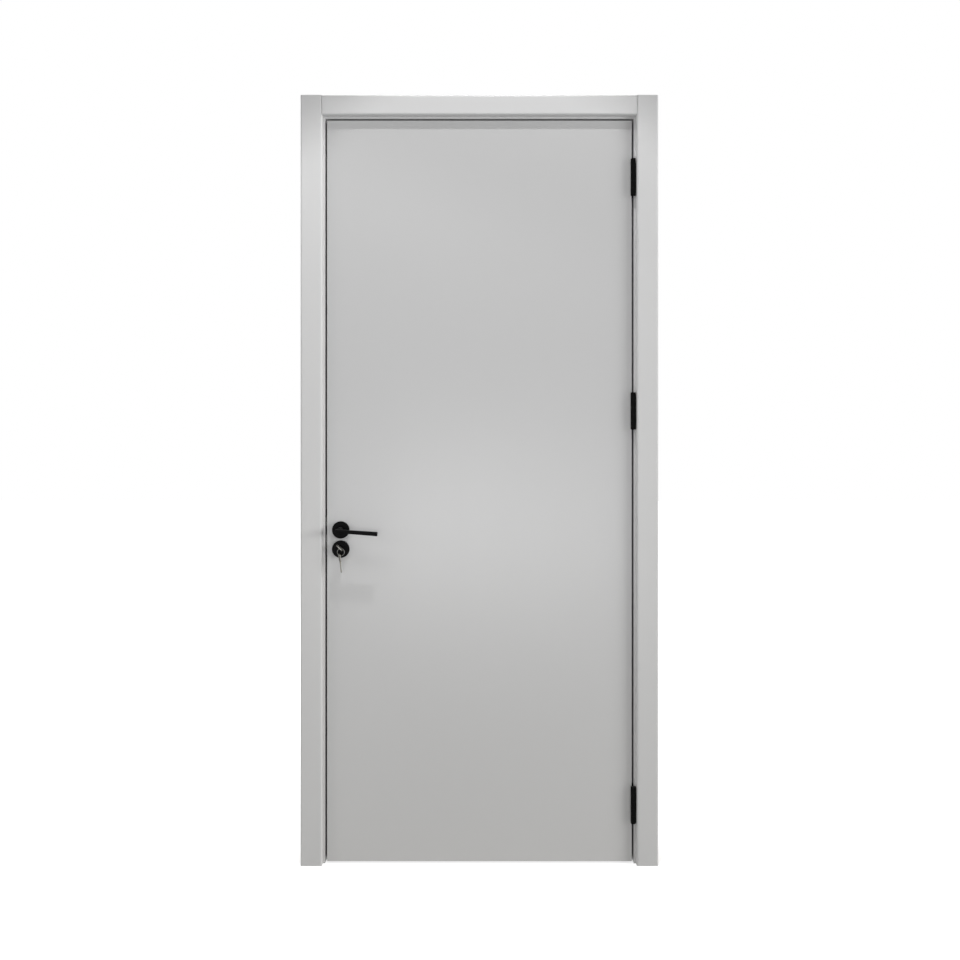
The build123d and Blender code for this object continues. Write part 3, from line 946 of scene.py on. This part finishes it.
def buildScrews(coat, steel):
    left, right = (-1, 0, 0), (1, 0, 0)
    lining = hingeScrewPlaces("lining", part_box("lining_hinge_side")[0].x, left)
    leaf = hingeScrewPlaces("leaf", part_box("hinge_stile")[1].x, right)
    forend = plateScrewPlaces("lock_forend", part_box("lock_forend")[0].x, left)
    strike = plateScrewPlaces("strike_plate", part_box("strike_plate")[1].x, right)
    sizes = {
        "Head Radius": "headRadius", "Head Depth": "headDepth", "Crown Height": "crownHeight",
        "Shank Radius": "shankRadius", "Shank Length": "shankLength", "Recess Length": "recessLength",
        "Recess Width": "recessWidth", "Recess Depth": "recessDepth",
    }
    values = {name: screw[key] * mm for name, key in sizes.items()}
    values["Seed"] = screw["seed"]
    net = screwNetwork()
    for name, places, material, body, slotName in (
        ("liningHingeScrews", lining, coat, "frame", "black_metal"),
        ("leafHingeScrews", leaf, coat, "leaf", "black_metal"),
        ("forendScrews", forend, steel, "leaf", "lock_steel"),
        ("strikeScrews", strike, steel, "frame", "lock_steel"),
    ):
        mesh = net.run(screwPoints(places), {**values, "Material": material})
        finished(name, mesh, material, body, slotName)
    print("screws set")


# Studio

studio = {
    "floorSize": 40.0,
    "floorColor": (0.62, 0.62, 0.62),
    "floorLift": 0.70,                          # white added near the part, and all of it far away
    "shadowReach": 1.0,
    "whiteReach": 3.0,
    "worldLight": 0.224,
}

# One with a cone is a downlight, the others are soft panels. The far side panels light without a mirror
# image, and the sheen panel shows in the gloss alone.
lamps = {
    "frontPanel": {"place": (-0.6, -3.6, 2.5), "aim": (-0.47, 0.0, 1.1), "size": (3.0, 1.4), "power": 5.25},
    "leftPanel": {
        "place": (-10.4, -4.3, 2.3), "aim": (-0.47, 0.0, 1.1), "size": (4.2, 3.2),
        "power": 230, "glossy": False,
    },
    "sheenPanel": {
        "place": (-0.47, -3.0, 0.74), "aim": (-0.47, 0.0, 0.95), "size": (1.6, 0.7),
        "power": 19, "diffuse": False,
    },
    "rightPanel": {
        "place": (9.5, -4.3, 2.3), "aim": (-0.47, 0.0, 1.1), "size": (4.2, 3.2),
        "power": 784, "glossy": False,
    },
    "downlight": {"place": (-0.455, -1.06, 4.2), "cone": 54, "blend": 0.02, "radius": 0.04, "power": 152},
    "sideDownlight": {
        "place": (-1.45, -1.25, 2.8), "cone": 122, "blend": 0.15, "radius": 0.12,
        "power": 17.2,
    },
    "backPanel": {"place": (-0.9, 3.4, 3.2), "aim": (-0.47, 0.0, 1.2), "size": (3.0, 2.4), "power": 105},
}


def seenDirectly(graph):                        # camera, mirror and glass rays all meet the plain white
    path = "ShaderNodeLightPath"
    rays = [graph.add(path, out=name) for name in ("Is Camera Ray", "Is Glossy Ray", "Is Transmission Ray")]
    return graph.add("ShaderNodeClamp", None, {0: rays[0] + rays[1] + rays[2]})


def buildWorld():
    world = bpy.data.worlds.new("studioWorld")
    bpy.context.scene.world = world
    world.use_nodes = True
    world.node_tree.nodes.clear()
    graph = Graph(world.node_tree)
    room = graph.add("ShaderNodeBackground", None, {"Color": (1, 1, 1), "Strength": studio["worldLight"]})
    white = graph.add("ShaderNodeBackground", None, {"Color": (1, 1, 1), "Strength": 1.0})
    both = graph.add("ShaderNodeMixShader", None, {0: seenDirectly(graph), 1: room, 2: white})
    graph.add("ShaderNodeOutputWorld", None, {"Surface": both})


def buildFloor():
    half = studio["floorSize"] / 2
    mesh = bpy.data.meshes.new("studioFloor")
    corners = [(-half, -half, 0), (half, -half, 0), (half, half, 0), (-half, half, 0)]
    mesh.from_pydata(corners, [], [(0, 1, 2, 3)])
    floor = bpy.data.objects.new("studioFloor", mesh)
    bpy.context.scene.collection.objects.link(floor)
    material = bpy.data.materials.new("floorWhite")
    material.use_nodes = True
    material.node_tree.nodes.clear()
    graph = Graph(material.node_tree)
    spot = graph.add("ShaderNodeTexCoord", out="Object")
    away = graph.add("ShaderNodeVectorMath", {"operation": "LENGTH"}, {0: spot}, "Value")
    lift = {0: away, 1: studio["shadowReach"], 2: studio["whiteReach"], 3: studio["floorLift"], 4: 1.0}
    lift = graph.add("ShaderNodeMapRange", None, lift)
    matt = graph.add("ShaderNodeBsdfDiffuse", None, {"Color": studio["floorColor"]})
    glow = graph.add("ShaderNodeEmission", None, {"Strength": seenDirectly(graph) * lift})
    both = graph.add("ShaderNodeAddShader", None, {0: matt, 1: glow})
    graph.add("ShaderNodeOutputMaterial", None, {"Surface": both})
    mesh.materials.append(material)


def softLight(name, lamp):
    if "cone" in lamp:
        light = bpy.data.lights.new(name, "SPOT")
        light.spot_size = math.radians(lamp["cone"])
        light.spot_blend = lamp["blend"]
        light.shadow_soft_size = lamp["radius"]
    else:
        light = bpy.data.lights.new(name, "AREA")
        light.shape = "RECTANGLE"
        light.size, light.size_y = lamp["size"]
    light.energy = lamp["power"]
    holder = bpy.data.objects.new(name, light)
    holder.location = lamp["place"]
    if "aim" in lamp:                           # a downlight already points down
        aim = Vector(lamp["aim"]) - holder.location
        holder.rotation_euler = aim.to_track_quat("-Z", "Y").to_euler()
    holder.visible_camera = False
    holder.visible_diffuse = lamp.get("diffuse", True)
    holder.visible_glossy = lamp.get("glossy", True)
    bpy.context.scene.collection.objects.link(holder)


# Camera: level, facing the middle of the frame

view = {
    "distance": 2.700,                          # from the casing's front
    "height": 1.147,
    "focalPixels": 975.0,
    "imagePixels": 960.0,
    "sensor": 36.0,
    "shift": (0.0006, -0.0292),
}


def buildCamera():
    low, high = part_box("front_casing_head")
    data = bpy.data.cameras.new("photoCamera")
    data.sensor_width = view["sensor"]
    data.lens = view["focalPixels"] / view["imagePixels"] * view["sensor"]
    data.shift_x, data.shift_y = view["shift"]
    camera = bpy.data.objects.new("photoCamera", data)
    camera.location = ((low.x + high.x) / 2, low.y - view["distance"], view["height"])
    camera.rotation_euler = (math.radians(90), 0, 0)
    bpy.context.scene.collection.objects.link(camera)
    bpy.context.scene.camera = camera


bpy.context.scene.view_settings.view_transform = "Standard"
finishFrame()
finishLeaf()
black, steel, nickel, wireSteel = finishHardware()
buildLevers(black, steel)
buildKeys(nickel)
buildRing(wireSteel)
buildScrews(black, steel)
buildWorld()
buildFloor()
for name, lamp in lamps.items():
    softLight(name, lamp)
buildCamera()
print("studio ready")
